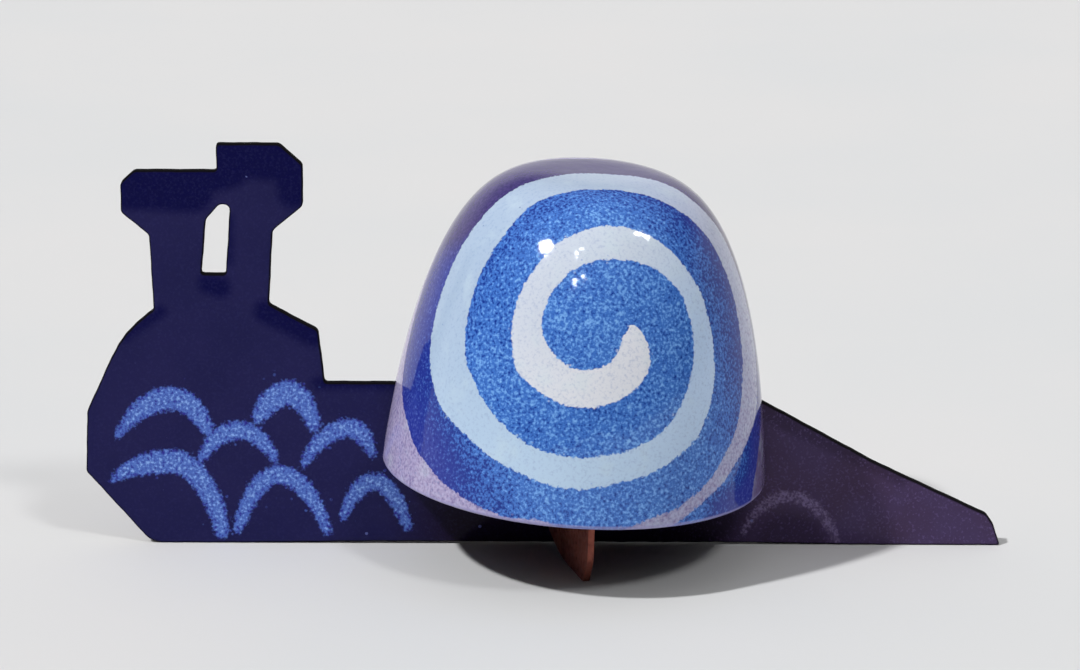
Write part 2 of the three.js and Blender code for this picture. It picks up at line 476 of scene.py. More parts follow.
def make_piece(name, points, faces, body, replaced, material, fields):
    """A smooth mesh piece from points in millimetres, with a number field at each point."""
    mesh = bpy.data.meshes.new(name)
    mesh.from_pydata([tuple(point) for point in points * MM], [], faces)
    for field, values in fields.items():
        made = mesh.attributes.new(field, "FLOAT", "POINT")
        made.data.foreach_set("value", np.asarray(values, np.float32))
    mesh.polygons.foreach_set("use_smooth", [True] * len(mesh.polygons))
    mesh.materials.append(material)
    mesh.update()
    piece = add_object(name, mesh)
    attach(piece, body)
    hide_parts(replaced)
    return piece


# The shell: a spun cup with two slots

# The solid shell's measures. Its line is a superellipse with one power for the side and another
# for the crown, and it narrows towards the crown by the taper
SHELL_RADIUS = 29.05
SHELL_HEIGHT = 46.3
SHELL_WALL = 1.2
SHELL_TAPER = 0.145
SIDE_POWER = 3.93
CROWN_POWER = 2.31
RIM_HEIGHT = 12.2
SHELL_LEAN = 3.74
SHELL_FROM_MIDDLE = 4.42
SHELL_PLACE = np.array([SHELL_FROM_MIDDLE, 0.0, RIM_HEIGHT])
SLOT_HALF_WIDTH = 1.15
SLOT_CORNER = 0.35
RIM_ROUND = 0.55
SHELL_PITCH = 0.75

# How many points describe the cup's line, a slot's side, its closed end and half the rim
LINE_POINTS = 4001
SLOT_SIDE_POINTS = 30
SLOT_END_POINTS = 7
RIM_POINTS = 130

# How far to each side the cup's slope is measured
SLOPE_REACH = 0.4

# The wall is what lies further from the cup's axis than this share of its radius
WALL_SHARE = 0.6


def shell_line():
    """The cup's outer line from the crown to the rim: its length so far, radius and height."""
    angle = np.linspace(0, 1, LINE_POINTS) * math.pi / 2
    rise = np.cos(angle) ** (2 / CROWN_POWER)
    reach = np.sin(angle) ** (2 / SIDE_POWER)
    rise[-1] = 0.0
    radius = SHELL_RADIUS * reach * (1 - SHELL_TAPER * rise)
    height = SHELL_HEIGHT * rise
    run = np.concatenate([[0], np.cumsum(np.hypot(np.diff(radius), np.diff(height)))])
    return run, radius, height


LINE_RUN, LINE_RADIUS, LINE_HEIGHT = shell_line()
LINE_LENGTH = LINE_RUN[-1]


def radius_at(run):
    """The cup's radius at a length along its line."""
    return np.interp(run, LINE_RUN, LINE_RADIUS)


def height_at(run):
    """The cup's height at a length along its line."""
    return np.interp(run, LINE_RUN, LINE_HEIGHT)


def tilted(points, degrees):
    """Points turned about a line across the snail, so that what was upright leans to the tail."""
    turn = math.radians(degrees)
    x, y, z = points.T
    return np.column_stack([
        x * math.cos(turn) + z * math.sin(turn),
        y,
        -x * math.sin(turn) + z * math.cos(turn),
    ])


def stood(points):
    """Takes points from the upright cup's frame to where the shell stands."""
    return tilted(points, SHELL_LEAN) + SHELL_PLACE


def upright(points):
    """Takes points from where the shell stands back to the upright cup's frame."""
    return tilted(points - SHELL_PLACE, -SHELL_LEAN)


def spin(flat, depth):
    """Spins a flat round blank up into the cup, at a depth below its outer face."""
    run = np.hypot(flat[:, 0], flat[:, 1])
    turn = np.arctan2(flat[:, 1], flat[:, 0])
    outward = radius_at(run + SLOPE_REACH) - radius_at(run - SLOPE_REACH)
    downward = height_at(run - SLOPE_REACH) - height_at(run + SLOPE_REACH)
    length = np.hypot(outward, downward)
    radius = np.maximum(radius_at(run) - depth * downward / length, 0)
    height = height_at(run) - depth * outward / length
    return np.column_stack([radius * np.cos(turn), radius * np.sin(turn), height])


def slot_top(side):
    """How far along the cup's line a slot of the CAD shell ends.

    The side is 1 for the slot at the tail and -1 for the one at the head.
    """
    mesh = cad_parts["shell"].data
    x, y, z = upright(np.array([list(vertex.co) for vertex in mesh.vertices]) / MM).T
    on_wall = side * x > WALL_SHARE * SHELL_RADIUS
    on_slot = on_wall & (np.abs(np.abs(y) - SLOT_HALF_WIDTH) < TOUCH)
    return np.interp(-z[on_slot].max(), -LINE_HEIGHT, LINE_RUN)


SLOT_TOPS = {side: slot_top(side) for side in (1, -1)}


def shell_outline(inset):
    """The blank's edge: its rim with the two slots cut in from it."""
    rim = LINE_LENGTH - inset
    half = SLOT_HALF_WIDTH + inset
    points = []
    for side in (1, -1):
        middle = 0 if side > 0 else math.pi
        top = SLOT_TOPS[side] - inset
        runs = np.linspace(rim, top + SLOT_CORNER, SLOT_SIDE_POINTS)
        turn = np.arcsin(half / radius_at(runs))
        across = np.linspace(1, -1, SLOT_END_POINTS)[1:-1] * (half - SLOT_CORNER) / radius_at(top)
        points.extend((run, middle - t) for run, t in zip(runs, turn))
        points.extend((top, middle - t) for t in across)
        points.extend((run, middle + t) for run, t in zip(runs[::-1], turn[::-1]))
        gap = math.asin(half / radius_at(rim))
        sweep = np.linspace(middle + gap, middle + math.pi - gap, RIM_POINTS)[1:-1]
        points.extend((rim, t) for t in sweep)
    run, turn = np.array(points).T
    return [np.column_stack([run * np.cos(turn), run * np.sin(turn)])]


def shell_filling(pitch):
    """Rings of points over the blank, as far apart on the finished cup as the pitch."""
    fewest = 6
    count = round(LINE_LENGTH / pitch)
    points = [(0.0, 0.0)]
    for ring in range(1, count):
        run = LINE_LENGTH * ring / count
        around = max(fewest, round(2 * math.pi * radius_at(run) / pitch))
        turn = (np.arange(around) + 0.5 * (ring % 2)) * 2 * math.pi / around
        points.extend(zip(run * np.cos(turn), run * np.sin(turn)))
    return np.array(points)


# The painted spiral

SPIRAL_HEIGHT = 29.0
SPIRAL_AIM = 6.0
SPIRAL_START = -13.0
SPIRAL_TURNS = 5

# The band at running turns clockwise from its inner tip, then its inner and its outer edge, as
# angles from the front's centre seen from a point on the cup's axis
SPIRAL = [
    (-0.068, 8.8, 9.0),
    (-0.045, 7.9, 10.7),
    (-0.016, 7.3, 13.0),
    (0.01, 6.8, 14.6),
    (0.047, 6.5, 17.5),
    (0.09, 7.3, 20.0),
    (0.17, 10.1, 21.2),
    (0.25, 13.2, 23.7),
    (0.34, 17.3, 28.8),
    (0.38, 19.2, 32.2),
    (0.46, 22.5, 33.4),
    (0.55, 23.1, 34.0),
    (0.63, 24.0, 36.6),
    (0.75, 25.5, 39.2),
    (0.84, 29.0, 39.6),
    (0.92, 32.0, 40.9),
    (1.0, 33.5, 42.8),
    (1.05, 34.2, 44.0),
    (1.09, 34.2, 43.4),
    (1.13, 33.8, 40.5),
    (1.19, 32.7, 38.2),
    (1.255, 34.7, 40.4),
    (1.3, 38.2, 44.5),
    (1.34, 42.0, 51.3),
    (1.38, 46.8, 62.6),
    (1.42, 51.2, 68.8),
    (1.5, 53.2, 71.4),
    (1.55, 54.2, 71.8),
    (1.63, 58.9, 75.8),
    (1.71, 60.7, 83.4),
    (1.76, 61.2, 83.0),
    (1.8, 60.5, 79.5),
    (1.84, 61.0, 75.8),
    (1.9, 61.8, 76.5),
    (2.0, 60.7, 75.5),
    (2.05, 58.6, 70.5),
    (2.075, 56.0, 63.0),
    (2.1, 52.9, 56.6),
    (2.14, 48.2, 50.4),
    (2.18, 45.4, 48.0),
    (2.25, 45.9, 60.0),
    (2.285, 50.8, 70.0),
    (2.31, 56.2, 80.0),
    (2.33, 62.3, 86.0),
    (2.355, 72.0, 94.0),
    (2.385, 83.5, 100.0),
    (2.43, 90.0, 106.0),
    (2.5, 98.0, 112.0),
    (2.6, 108.0, 122.0),
    (2.75, 115.0, 128.0),
    (2.875, 106.0, 119.0),
    (3.0, 83.5, 98.0),
    (3.05, 77.0, 91.0),
    (3.1, 69.0, 84.0),
    (3.25, 75.0, 90.0),
    (3.375, 108.0, 118.0),
    (3.5, 124.0, 135.0),
    (3.625, 134.0, 144.0),
    (3.75, 139.0, 150.0),
    (3.875, 138.0, 149.0),
    (4.0, 131.0, 143.0),
    (4.125, 138.0, 147.0),
    (4.25, 148.0, 158.0),
    (4.375, 155.0, 165.0),
    (4.5, 160.0, 169.0),
    (4.6, 164.0, 171.0),
    (4.66, 168.0, 168.4),
]


def spiral_fields(points):
    """For each point of the upright cup, how far it lies inside the band, and two measures.

    They are the band's turn there and the point's angle from the front's centre.
    """
    aim = math.radians(SPIRAL_AIM)
    forward = np.array([math.sin(aim), -math.cos(aim), 0.0])
    right = np.array([math.cos(aim), math.sin(aim), 0.0])
    away = points - np.array([0.0, 0.0, SPIRAL_HEIGHT])
    distance = np.linalg.norm(away, axis=1)
    angle = np.degrees(np.arccos(np.clip(away @ forward / distance, -1, 1)))
    clock = np.degrees(np.arctan2(away[:, 2], away @ right))
    share = ((SPIRAL_START - clock) / 360) % 1
    places, inner, outer = np.array(SPIRAL).T
    band = np.full(len(points), FAR_OUTSIDE)
    turn = np.zeros(len(points))
    for whole in range(-1, SPIRAL_TURNS):
        at = share + whole
        low = smooth_curve(at, places, inner)
        high = smooth_curve(at, places, outer)
        depth = np.minimum(angle - low, high - angle) * np.radians(distance)
        depth[(at < places[0]) | (at > places[-1])] = FAR_OUTSIDE
        nearer = depth > band
        band[nearer] = depth[nearer]
        turn[nearer] = at[nearer]
    return band, turn, angle


# Where the enamels lie thick or thin, and where painted shade darkens them: x, y and z are
# places on the upright cup, the angle is from the front's centre, and the turn is the band's

BLUE_LEVEL = 0.59
BLUE_LOST_TO_VIOLET = 0.3

# How much darker the blue is in each part of the shell, and the steps over which it darkens:
# partly thinner sifted blue, partly painted shade where the key lamp lights the left strongly
# and where the floor shows in the gloss on the right
BLUE_LOSSES_AND_SHADE = {
    "towards the sides": (0.34, {"angle": (40, 76)}),
    "low on the left": (0.16, {"x": (-4, -14), "z": (16, 6)}),
    "high on the right": (0.16, {"x": (4, 18), "z": (8, 24), "angle": (22, 44)}),
    "high on the left": (0.06, {"x": (-2, -14), "z": (14, 30)}),
    "round the back": (0.25, {"angle": (80, 95)}),
    "far on the left": (0.08, {"x": (-12, -22), "angle": (40, 60)}),
    "far on the right": (0.22, {"x": (20, 26), "angle": (62, 70)}),
    "low on the right": (0.25, {"x": (17, 22), "z": (6, 2)}),
}
VIOLET_CROWN = {"z": (31, 40), "angle": (62, 76)}
VIOLET_BACK = {"y": (-12, 4)}
# The pale band's level, and how much painted shade lowers it towards its darker colours where its
# second turn runs from the top to the right
PALE_LEVEL = 0.85
PALE_SHADE_LOSS = 0.3
PALE_SHADED_TURNS = {"turn": (1.7, 2.1)}

# The level across the wall, from its middle, below which it carries the counter enamel
INNER_LEVEL = -0.2


def shell_fields(sheet, cup, points):
    """The numbers that the shell's enamel reads at each point."""
    band, turn, angle = spiral_fields(spin(sheet.flat, 0 * sheet.level))
    x, y, z = cup.T
    measures = {"x": x, "y": y, "z": z, "angle": angle, "turn": turn}
    violet = np.clip(zone(measures, VIOLET_CROWN) + zone(measures, VIOLET_BACK), 0, 1)
    blue = BLUE_LEVEL - BLUE_LOST_TO_VIOLET * violet
    # thinner blue and painted shade
    for loss, reaches in BLUE_LOSSES_AND_SHADE.values():
        blue -= loss * zone(measures, reaches)
    return {
        "band": band,
        "turn": turn,
        "blue_level": blue,
        "violet": violet,
        # painted shade lowers the pale band's level where its second turn ends
        "pale_level": PALE_LEVEL - PALE_SHADE_LOSS * zone(measures, PALE_SHADED_TURNS),
        "edge": sheet.edge_distance(points),
        "inside": (sheet.level < INNER_LEVEL).astype(float),
    }


# The colours of the shell's enamels, as pairs or stops from dark or thin grains to light or
# thick ones

VIOLET = (linear(46, 38, 96), linear(74, 60, 124))
COUNTER_ENAMEL = (linear(24, 22, 58), linear(44, 42, 96))
DEEP_BLUE = [
    (0.1, linear(24, 34, 128)),
    (0.5, linear(46, 58, 152)),
    (0.9, linear(96, 112, 194)),
]
SIFTED_BLUE = [
    (0.2, linear(26, 52, 140)),
    (0.55, linear(66, 116, 200)),
    (0.85, linear(116, 168, 232)),
    (1.0, linear(140, 190, 242)),
]

# The pale band's colours along the spiral's five turns, with painted shade in them: the turns
# on the left, where the key lamp falls, are darkened, and the strip at three turns, in the
# corner by the body, is painted dark as shade; and what shows where it is thin and where
# painted shade lowers its level
PALE_WITH_PAINTED_SHADE = [
    (0.0, linear(230, 232, 240)),
    (0.05, linear(228, 230, 237)),
    # the first turn on the left, darkened as painted shade
    (0.1, linear(206, 213, 226)),
    (0.15, linear(204, 214, 228)),
    (0.2, linear(197, 220, 250)),
    (0.25, linear(188, 212, 236)),
    # the second turn on the left, darkened as painted shade
    (0.3, linear(170, 190, 214)),
    (0.34, linear(174, 190, 212)),
    (0.38, linear(196, 202, 226)),
    (0.42, linear(178, 180, 212)),
    (0.47, linear(184, 174, 208)),
    (0.56, linear(176, 172, 208)),
    # the strip at three turns, in the corner by the body, painted dark as shade
    (0.6, linear(104, 86, 124)),
    (0.65, linear(110, 96, 136)),
    (0.72, linear(184, 186, 216)),
]
THIN_PALE = (linear(168, 184, 212), linear(122, 106, 158))
PALE_POWDER = linear(122, 146, 192)
PALE_BRUSHED = linear(208, 226, 232)
RIM_LINE = linear(164, 158, 208)
RIM_COPPER = linear(60, 36, 44)

# The depths in the band between which its edge and the loose grains beside it come in, and the
# distances from the rim between which its pale line and its bare copper end
BAND_EDGE = (-0.1, 0.12)
BAND_LOOSE = (-0.8, 0.1)
RIM_LINE_END = (0.7, 0.95)
RIM_COPPER_END = (0.1, 0.3)

# How strongly the enamel mirrors, as an index of refraction
SHELL_MIRRORING = 1.36


def blue_enamel(shader, grain, brushed, cloud):
    """Blue grains sifted over a deep blue or a violet ground, which shows between them."""
    blue_level = shader.attribute("blue_level")
    heaped = shader.plus(blue_level, (grain, 0.47), (brushed, 0.05), (cloud, 0.06))
    violet = shader.mix(shader.step(grain, -0.9, 0.9), *VIOLET)
    deep = shader.ramp(shader.plus(0.5, (grain, 0.4)), DEEP_BLUE)
    ground = shader.mix(shader.attribute("violet"), deep, violet)
    cover = shader.step(shader.plus(blue_level, (grain, 0.08)), 0.02, 0.42)
    return shader.mix(cover, ground, shader.ramp(heaped, SIFTED_BLUE))


def pale_enamel(shader, grain, other_grain, brushed):
    """The pale band, which changes its colour along the spiral, partly as painted shade, and shows
    its grain.
    """
    along = shader.math("DIVIDE", shader.attribute("turn"), float(SPIRAL_TURNS))
    pale = shader.ramp(along, PALE_WITH_PAINTED_SHADE)
    dusk = shader.mix(shader.step(along, 0.33, 0.42), *THIN_PALE)
    thick = shader.plus(shader.attribute("pale_level"), (other_grain, 0.35))
    pale = shader.mix(shader.step(thick, 0.1, 0.8), dusk, pale)
    pale = shader.mix(shader.step(grain, -0.1, 0.9, 0.0, 0.34), pale, PALE_POWDER)
    return shader.mix(shader.step(brushed, 0.0, 1.0, 0.0, 0.3), pale, PALE_BRUSHED)


def band_cover(shader, ragged, brushed):
    """Where the band lies: its ragged edge, loose grains beside it and pinholes in it."""
    depth = shader.plus(shader.attribute("band"), (ragged, 0.3), (brushed, 0.2))
    band = shader.step(depth, *BAND_EDGE)
    loose = shader.product(shader.specks(0.3, 0.3, seed=5.0), shader.step(depth, *BAND_LOOSE))
    band = shader.math("MAXIMUM", band, shader.product(loose, 0.7))
    pinholes = shader.product(shader.specks(0.3, 0.02), 0.4)
    return shader.product(band, shader.math("SUBTRACT", 1.0, pinholes))


def shell_edges(shader, colour, grain, ragged):
    """The colour with the rim's pale line and bare copper, and the counter enamel inside."""
    edge = shader.attribute("edge")
    thin_line = shader.product(shader.step(edge, *RIM_LINE_END, 1.0, 0.0), 0.6)
    colour = shader.mix(thin_line, colour, RIM_LINE)
    bare = shader.step(shader.plus(edge, (ragged, 0.15)), *RIM_COPPER_END, 1.0, 0.0)
    colour = shader.mix(bare, colour, RIM_COPPER)
    inner = shader.mix(shader.step(grain, -0.5, 0.5), *COUNTER_ENAMEL)
    return shader.mix(shader.attribute("inside"), colour, inner)


def shell_material():
    """Glossy enamel: sifted blue grains with the pale band over them."""
    shader = Shader("shell_enamel")
    grain = shader.noise(0.44, detail=1.5, roughness=0.6)
    other_grain = shader.noise(0.45, detail=1.0, seed=1.0)
    ragged = shader.noise(0.55, detail=2.0, roughness=0.6, seed=2.0)
    brushed = shader.noise(3.5, detail=2.0, seed=3.0)
    cloud = shader.noise(8.0, seed=4.0)

    blue = blue_enamel(shader, grain, brushed, cloud)
    pale = pale_enamel(shader, grain, other_grain, brushed)
    covered = band_cover(shader, ragged, brushed)
    colour = shell_edges(shader, shader.mix(covered, blue, pale), grain, ragged)

    relief = shader.product(grain, 0.12)
    relief = shader.plus(relief, (covered, 0.4), (brushed, 2.2), (cloud, 3.5))
    return shader.surface(
        Base_Color=colour,
        Roughness=shader.step(other_grain, -1.0, 1.0, 0.05, 0.1),
        IOR=SHELL_MIRRORING,
        Normal=shader.bump(relief, 0.4),
    )


def build_shell():
    """The dressed shell, spun up from a flat blank with its slots."""
    pitch = drawn_pitch(SHELL_PITCH)
    half = SHELL_WALL / 2
    sheet = Sheet(shell_outline, shell_filling(pitch), half, RIM_ROUND, pitch * EDGE_CLEARANCE)
    cup = spin(sheet.flat, half - sheet.level)
    points = stood(cup)
    make_piece(
        "enamelled_shell", points, sheet.faces,
        "snail_shell", "shell",
        shell_material(), shell_fields(sheet, cup, points),
    )


# The body: a flat sawn sheet

BODY_HALF = mm_box("body_plate")[1][1]
BODY_EDGE_ROUND = 0.16
BODY_PITCH = 0.7

# How far below its face the CAD body's sharp outline is read
SAWN_EDGE = 0.15

# The saw's wander: what the outline gives way for it, and waves by their height, their
# quickness along the outline and where they start
SAW_ALLOWANCE = 0.03
SAW_WAVES = [(0.02, 1.1, 0.0), (0.01, 2.7, 1.0)]

# The foot's slot as the CAD has it, and how high the enamel has closed its mouth
FOOT_SLOT_REACH = 1.6
FOOT_SLOT_HEIGHT = 9.0
MOUTH_HEIGHT = 2.5

# How far apart the rows of a staggered grid lie, as a share of its pitch
ROW_SHARE = 0.87


def edge_loops(mesh, level):
    """The closed loops of a mesh's edges that lie at one level across it."""
    neighbours = {}
    for edge in mesh.edges:
        if all(abs(vertex.co.y / MM - level) < TOUCH for vertex in edge.verts):
            first, second = edge.verts
            neighbours.setdefault(first, []).append(second)
            neighbours.setdefault(second, []).append(first)
    loops = []
    while neighbours:
        start = next(iter(neighbours))
        loop = [start]
        before, here = None, start
        while True:
            onward = [vertex for vertex in neighbours[here] if vertex is not before]
            before, here = here, onward[0]
            if here is start:
                break
            loop.append(here)
        for vertex in loop:
            del neighbours[vertex]
        loops.append(np.array([(v.co.x, v.co.z) for v in loop]) / MM)
    return loops


def sawn_outlines(node, level):
    """A CAD sheet's outlines at one level, the outer one first, each with its metal on the left."""
    mesh = bmesh.new()
    mesh.from_mesh(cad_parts[node].data)
    bmesh.ops.remove_doubles(mesh, verts=mesh.verts, dist=1e-6)
    loops = edge_loops(mesh, level)
    mesh.free()
    loops.sort(key=lambda points: -abs(signed_area(points)))
    turned = []
    for index, points in enumerate(loops):
        wanted = 1 if index == 0 else -1
        turned.append(points if signed_area(points) * wanted > 0 else points[::-1])
    return turned


def close_mouth(outline):
    """Takes the foot's slot out of the outline, as a window above the enamel in its mouth."""
    outline = np.roll(outline, -outline[:, 1].argmax(), axis=0)
    x, z = outline.T
    foot_low, foot_high = mm_box("cross_foot")
    middle = (foot_low[0] + foot_high[0]) / 2
    in_slot = (np.abs(x - middle) < FOOT_SLOT_REACH) & (z < FOOT_SLOT_HEIGHT)
    top = outline[in_slot & (z > FOOT_SLOT_HEIGHT / 2)]
    corners = [(top[-1, 0], MOUTH_HEIGHT), (top[0, 0], MOUTH_HEIGHT)]
    return outline[~in_slot], np.vstack([top, corners])


def body_outline(loops):
    """The sheet's outlines at an inset, with the small wander of a hand-held saw."""

    def at(inset):
        found = []
        for loop in loops:
            steps = np.linalg.norm(np.roll(loop, -1, axis=0) - loop, axis=1)
            run = np.cumsum(steps)
            wander = sum(high * np.sin(run * quick + start) for high, quick, start in SAW_WAVES)
            found.append(shrink(loop, inset + SAW_ALLOWANCE + wander[:, None]))
        return found

    return at


def grid_filling(loops, pitch):
    """A staggered grid of points over a flat sheet."""
    low = loops[0].min(axis=0)
    high = loops[0].max(axis=0)
    rows = int((high[1] - low[1]) / (pitch * ROW_SHARE)) + 1
    points = []
    for row in range(rows):
        along = np.arange(low[0] + 0.5 * pitch * (row % 2), high[0], pitch)
        points.extend((x, low[1] + row * pitch * ROW_SHARE) for x in along)
    return np.array(points)


# The scallops: the left end, the middle of the crest, the right end, the crest's width, the
# ends' widths as shares of it, and how round the crest is where that differs

SCALLOPS = [
    ((-64.6, 16.4), (-56.0, 23.0), (-50.5, 17.2), 4.0, (0.12, 0.4)),
    ((-42.9, 20.2), (-38.5, 23.9), (-34.6, 18.2), 4.2, (0.6, 0.4)),
    ((-51.9, 13.2), (-46.2, 18.0), (-40.6, 13.2), 3.3, (0.4, 0.35)),
    ((-36.5, 12.2), (-29.4, 18.4), (-26.0, 14.2), 3.3, (0.3, 0.45)),
    ((-65.6, 9.6), (-56.3, 13.0), (-49.0, 1.8), 4.1, (0.15, 0.6), 0.7),
    ((-46.5, 2.1), (-40.2, 11.0), (-33.0, 1.9), 3.3, (0.5, 0.5)),
    ((-30.5, 3.9), (-25.8, 9.9), (-20.8, 2.6), 3.2, (0.4, 0.5)),
]
TAIL_SCALLOP = ((30.3, 1.9), (37.2, 7.8), (44.4, 0.9), 2.1, (0.5, 0.7))
CREST_ROUNDNESS = 0.85
TIP_ROUNDNESS = 0.6
SCALLOP_POINTS = 49


def scallop_depth(flat, left, crest, right, width, tips, roundness=CREST_ROUNDNESS):
    """How far each point lies inside a scallop, which thins towards its two tips."""
    share = np.linspace(-1, 1, SCALLOP_POINTS)
    tip = np.where(share < 0, left[0], right[0])
    foot = np.where(share < 0, left[1], right[1])
    x = crest[0] + np.abs(crest[0] - tip) * share
    z = foot + (crest[1] - foot) * (1 - share**2) ** roundness
    thin = np.where(share < 0, tips[0], tips[1])
    half = 0.5 * width * (thin + (1 - thin) * (1 - share**2) ** TIP_ROUNDNESS)
    best = np.full(len(flat), FAR_OUTSIDE)
    for index in range(len(share) - 1):
        start, end = (x[index], z[index]), (x[index + 1], z[index + 1])
        best = np.maximum(best, stroke_depth(flat, start, end, half[index], half[index + 1]))
    return best


# Where the dark blue enamel pooled, as strokes: both ends and half the width. The pools keep
# the enamel's own deep blue, without the painted reflection of the floor that lightens the navy

POOLS = [
    ((-62.0, 55.6), (-52.5, 55.2), 3.2),
    ((-53.5, 57.5), (-47.0, 59.0), 3.4),
    ((-48.0, 62.0), (-38.0, 61.0), 4.6),
    ((-38.6, 60.0), (-37.6, 54.8), 2.2),
    ((-46.9, 51.0), (-47.0, 44.5), 0.4),
    ((-50.4, 40.9), (-48.6, 40.4), 1.6),
    ((-63.0, 32.6), (-57.5, 36.6), 0.9),
    ((-41.8, 36.6), (-34.6, 32.8), 1.7),
    ((-34.0, 25.4), (-22.0, 25.4), 1.0),
]

# Painted shade in a dark maroon: how dark it is in each place, and the steps over which it comes
# in. It lies under the shell, under the tail's scallop and along the tail's upper edge. The
# places are measured from a middle along the sheet, from the foot of the tail's scallop, and
# into a stroke along the tail's upper edge

SHADE_MIDDLE = 5.0
ARCH_MIDDLE = 37.5
TAIL_SHADE_STROKE = ((33.0, 21.5), (54.0, 10.6), 1.6, 1.0)
PAINTED_SHADE_PLACES = {
    "under the shell": (0.8, {"from_middle": (31, 17), "z": (30, 18)}),
    "under the tail's scallop": (0.45, {"from_arch": (7, 4)}),
    "along the tail's upper edge": (0.4, {"into_stroke": (-0.7, 0.7)}),
}

# Where along the sheet the navy turns to plum
PLUM_STEP = (12, 34)


def painted_shade_field(flat):
    """How much painted shade, in a dark maroon, each point of the sheet gets."""
    x, z = flat.T
    measures = {
        "z": z,
        "from_middle": np.abs(x - SHADE_MIDDLE),
        "from_arch": np.hypot(x - ARCH_MIDDLE, z),
        "into_stroke": stroke_depth(flat, *TAIL_SHADE_STROKE),
    }
    found = [share * zone(measures, reaches) for share, reaches in PAINTED_SHADE_PLACES.values()]
    return np.max(found, axis=0)


def body_fields(sheet, points):
    """The numbers that the body's enamel reads at each point."""
    flat = sheet.flat
    scallops = [scallop_depth(flat, *scallop) for scallop in SCALLOPS]
    pools = [stroke_depth(flat, start, end, half, half) for start, end, half in POOLS]
    return {
        "scallop": np.max(scallops, axis=0),
        "tail_scallop": scallop_depth(flat, *TAIL_SCALLOP),
        "plum": smooth_share(flat[:, 0], *PLUM_STEP),
        "painted_shade": painted_shade_field(flat),
        "pool": np.max(pools, axis=0),
        "edge": sheet.edge_distance(points),
    }


# The colours of the body's enamels, as pairs from one cloud to the next or stops from dark
# grains to light ones

# The navy is the pooled blue with a painted reflection of the pale floor added to it
NAVY_AND_FLOOR_SHEEN = (linear(30, 29, 78), linear(34, 32, 82))
PLUM = (linear(70, 54, 84), linear(74, 60, 97))
POOLED_BLUE = linear(2, 2, 66)
# Painted shade, in a dark maroon
MAROON_SHADE = linear(30, 16, 32)
PLUM_POWDER = linear(124, 100, 156)
BLUE_DUST = linear(74, 76, 136)
BLUE_SPECK = linear(96, 104, 170)
SCALLOP_BLUE = [
    (0.1, linear(54, 54, 156)),
    (0.5, linear(84, 116, 202)),
    (0.9, linear(146, 184, 246)),
]
FAINT_SCALLOP = linear(140, 124, 170)
DARK_EDGE = linear(10, 8, 12)

# The depths in a scallop between which its edge, the loose grains beside it and its heap come
# in, and the distances from the sheet's edge between which the dark line along it ends
SCALLOP_EDGE = (-0.15, 0.45)
SCALLOP_LOOSE = (-2.2, -0.2)
SCALLOP_HEAP = (0.0, 1.1)
FAINT_EDGE = (-0.2, 0.5)
DARK_EDGE_END = (0.12, 0.4)

# How strongly the enamel mirrors, as an index of refraction
BODY_MIRRORING = 1.18


def body_ground(shader, dust, cloud):
    """Navy with a painted floor reflection at the head and plum at the tail, with pools, painted
    maroon shade and a little dust.
    """
    clouded = shader.step(cloud, -0.6, 0.6)
    plum = shader.attribute("plum")
    ground = shader.mix(plum, shader.mix(clouded, *NAVY_AND_FLOOR_SHEEN), shader.mix(clouded, *PLUM))
    pool = shader.plus(shader.attribute("pool"), (cloud, 0.4))
    ground = shader.mix(shader.step(pool, -1.0, 1.0), ground, POOLED_BLUE)
    # painted shade under the shell, under the tail's scallop and along the tail's upper edge
    ground = shader.mix(shader.attribute("painted_shade"), ground, MAROON_SHADE)
    powder = shader.product(plum, shader.step(dust, 0.1, 0.9, 0.0, 0.3))
    ground = shader.mix(powder, ground, PLUM_POWDER)
    ground = shader.mix(shader.step(dust, -0.2, 1.0, 0.0, 0.09), ground, BLUE_DUST)
    return shader.mix(shader.specks(0.3, 0.012, seed=15.0), ground, BLUE_SPECK)


def scallop_cover(shader, depth):
    """Where a scallop lies, with loose grains beside it."""
    loose = shader.product(shader.specks(0.3, 0.2, seed=16.0), shader.step(depth, *SCALLOP_LOOSE))
    return shader.math("MAXIMUM", shader.step(depth, *SCALLOP_EDGE), shader.product(loose, 0.6))


def faint_cover(shader, ragged, dust):
    """Where the faint scallop of the tail lies, thin as dust."""
    depth = shader.plus(shader.attribute("tail_scallop"), (ragged, 0.6))
    dusted = shader.step(dust, -0.6, 0.6, 0.1, 0.6)
    return shader.product(shader.step(depth, *FAINT_EDGE), dusted)


def body_material():
    """Glossy dark enamel with sifted blue scallops on it, and a faint one at the tail."""
    shader = Shader("body_enamel")
    grain = shader.noise(0.48, detail=1.5, roughness=0.6, seed=11.0)
    ragged = shader.noise(0.6, detail=2.5, roughness=0.65, seed=12.0)
    dust = shader.noise(0.35, detail=1.0, seed=13.0)
    cloud = shader.noise(10.0, seed=14.0)

    depth = shader.plus(shader.attribute("scallop"), (ragged, 0.6))
    covered = scallop_cover(shader, depth)
    heaped = shader.plus(shader.step(depth, *SCALLOP_HEAP, 0.3, 0.55), (grain, 0.55))
    sifted = shader.ramp(heaped, SCALLOP_BLUE)
    colour = shader.mix(covered, body_ground(shader, dust, cloud), sifted)
    colour = shader.mix(faint_cover(shader, ragged, dust), colour, FAINT_SCALLOP)
    # A dark line along the sheet's edge
    dark_edge = shader.step(shader.attribute("edge"), *DARK_EDGE_END, 1.0, 0.0)
    colour = shader.mix(dark_edge, colour, DARK_EDGE)

    relief = shader.product(covered, 0.5)
    relief = shader.plus(relief, (shader.product(covered, grain), 0.3), (cloud, 2.5))
    return shader.surface(
        Base_Color=colour,
        Roughness=shader.math("MAXIMUM", shader.step(dust, -1.0, 1.0, 0.07, 0.13), dark_edge),
        IOR=BODY_MIRRORING,
        Normal=shader.bump(relief, 0.3),
    )


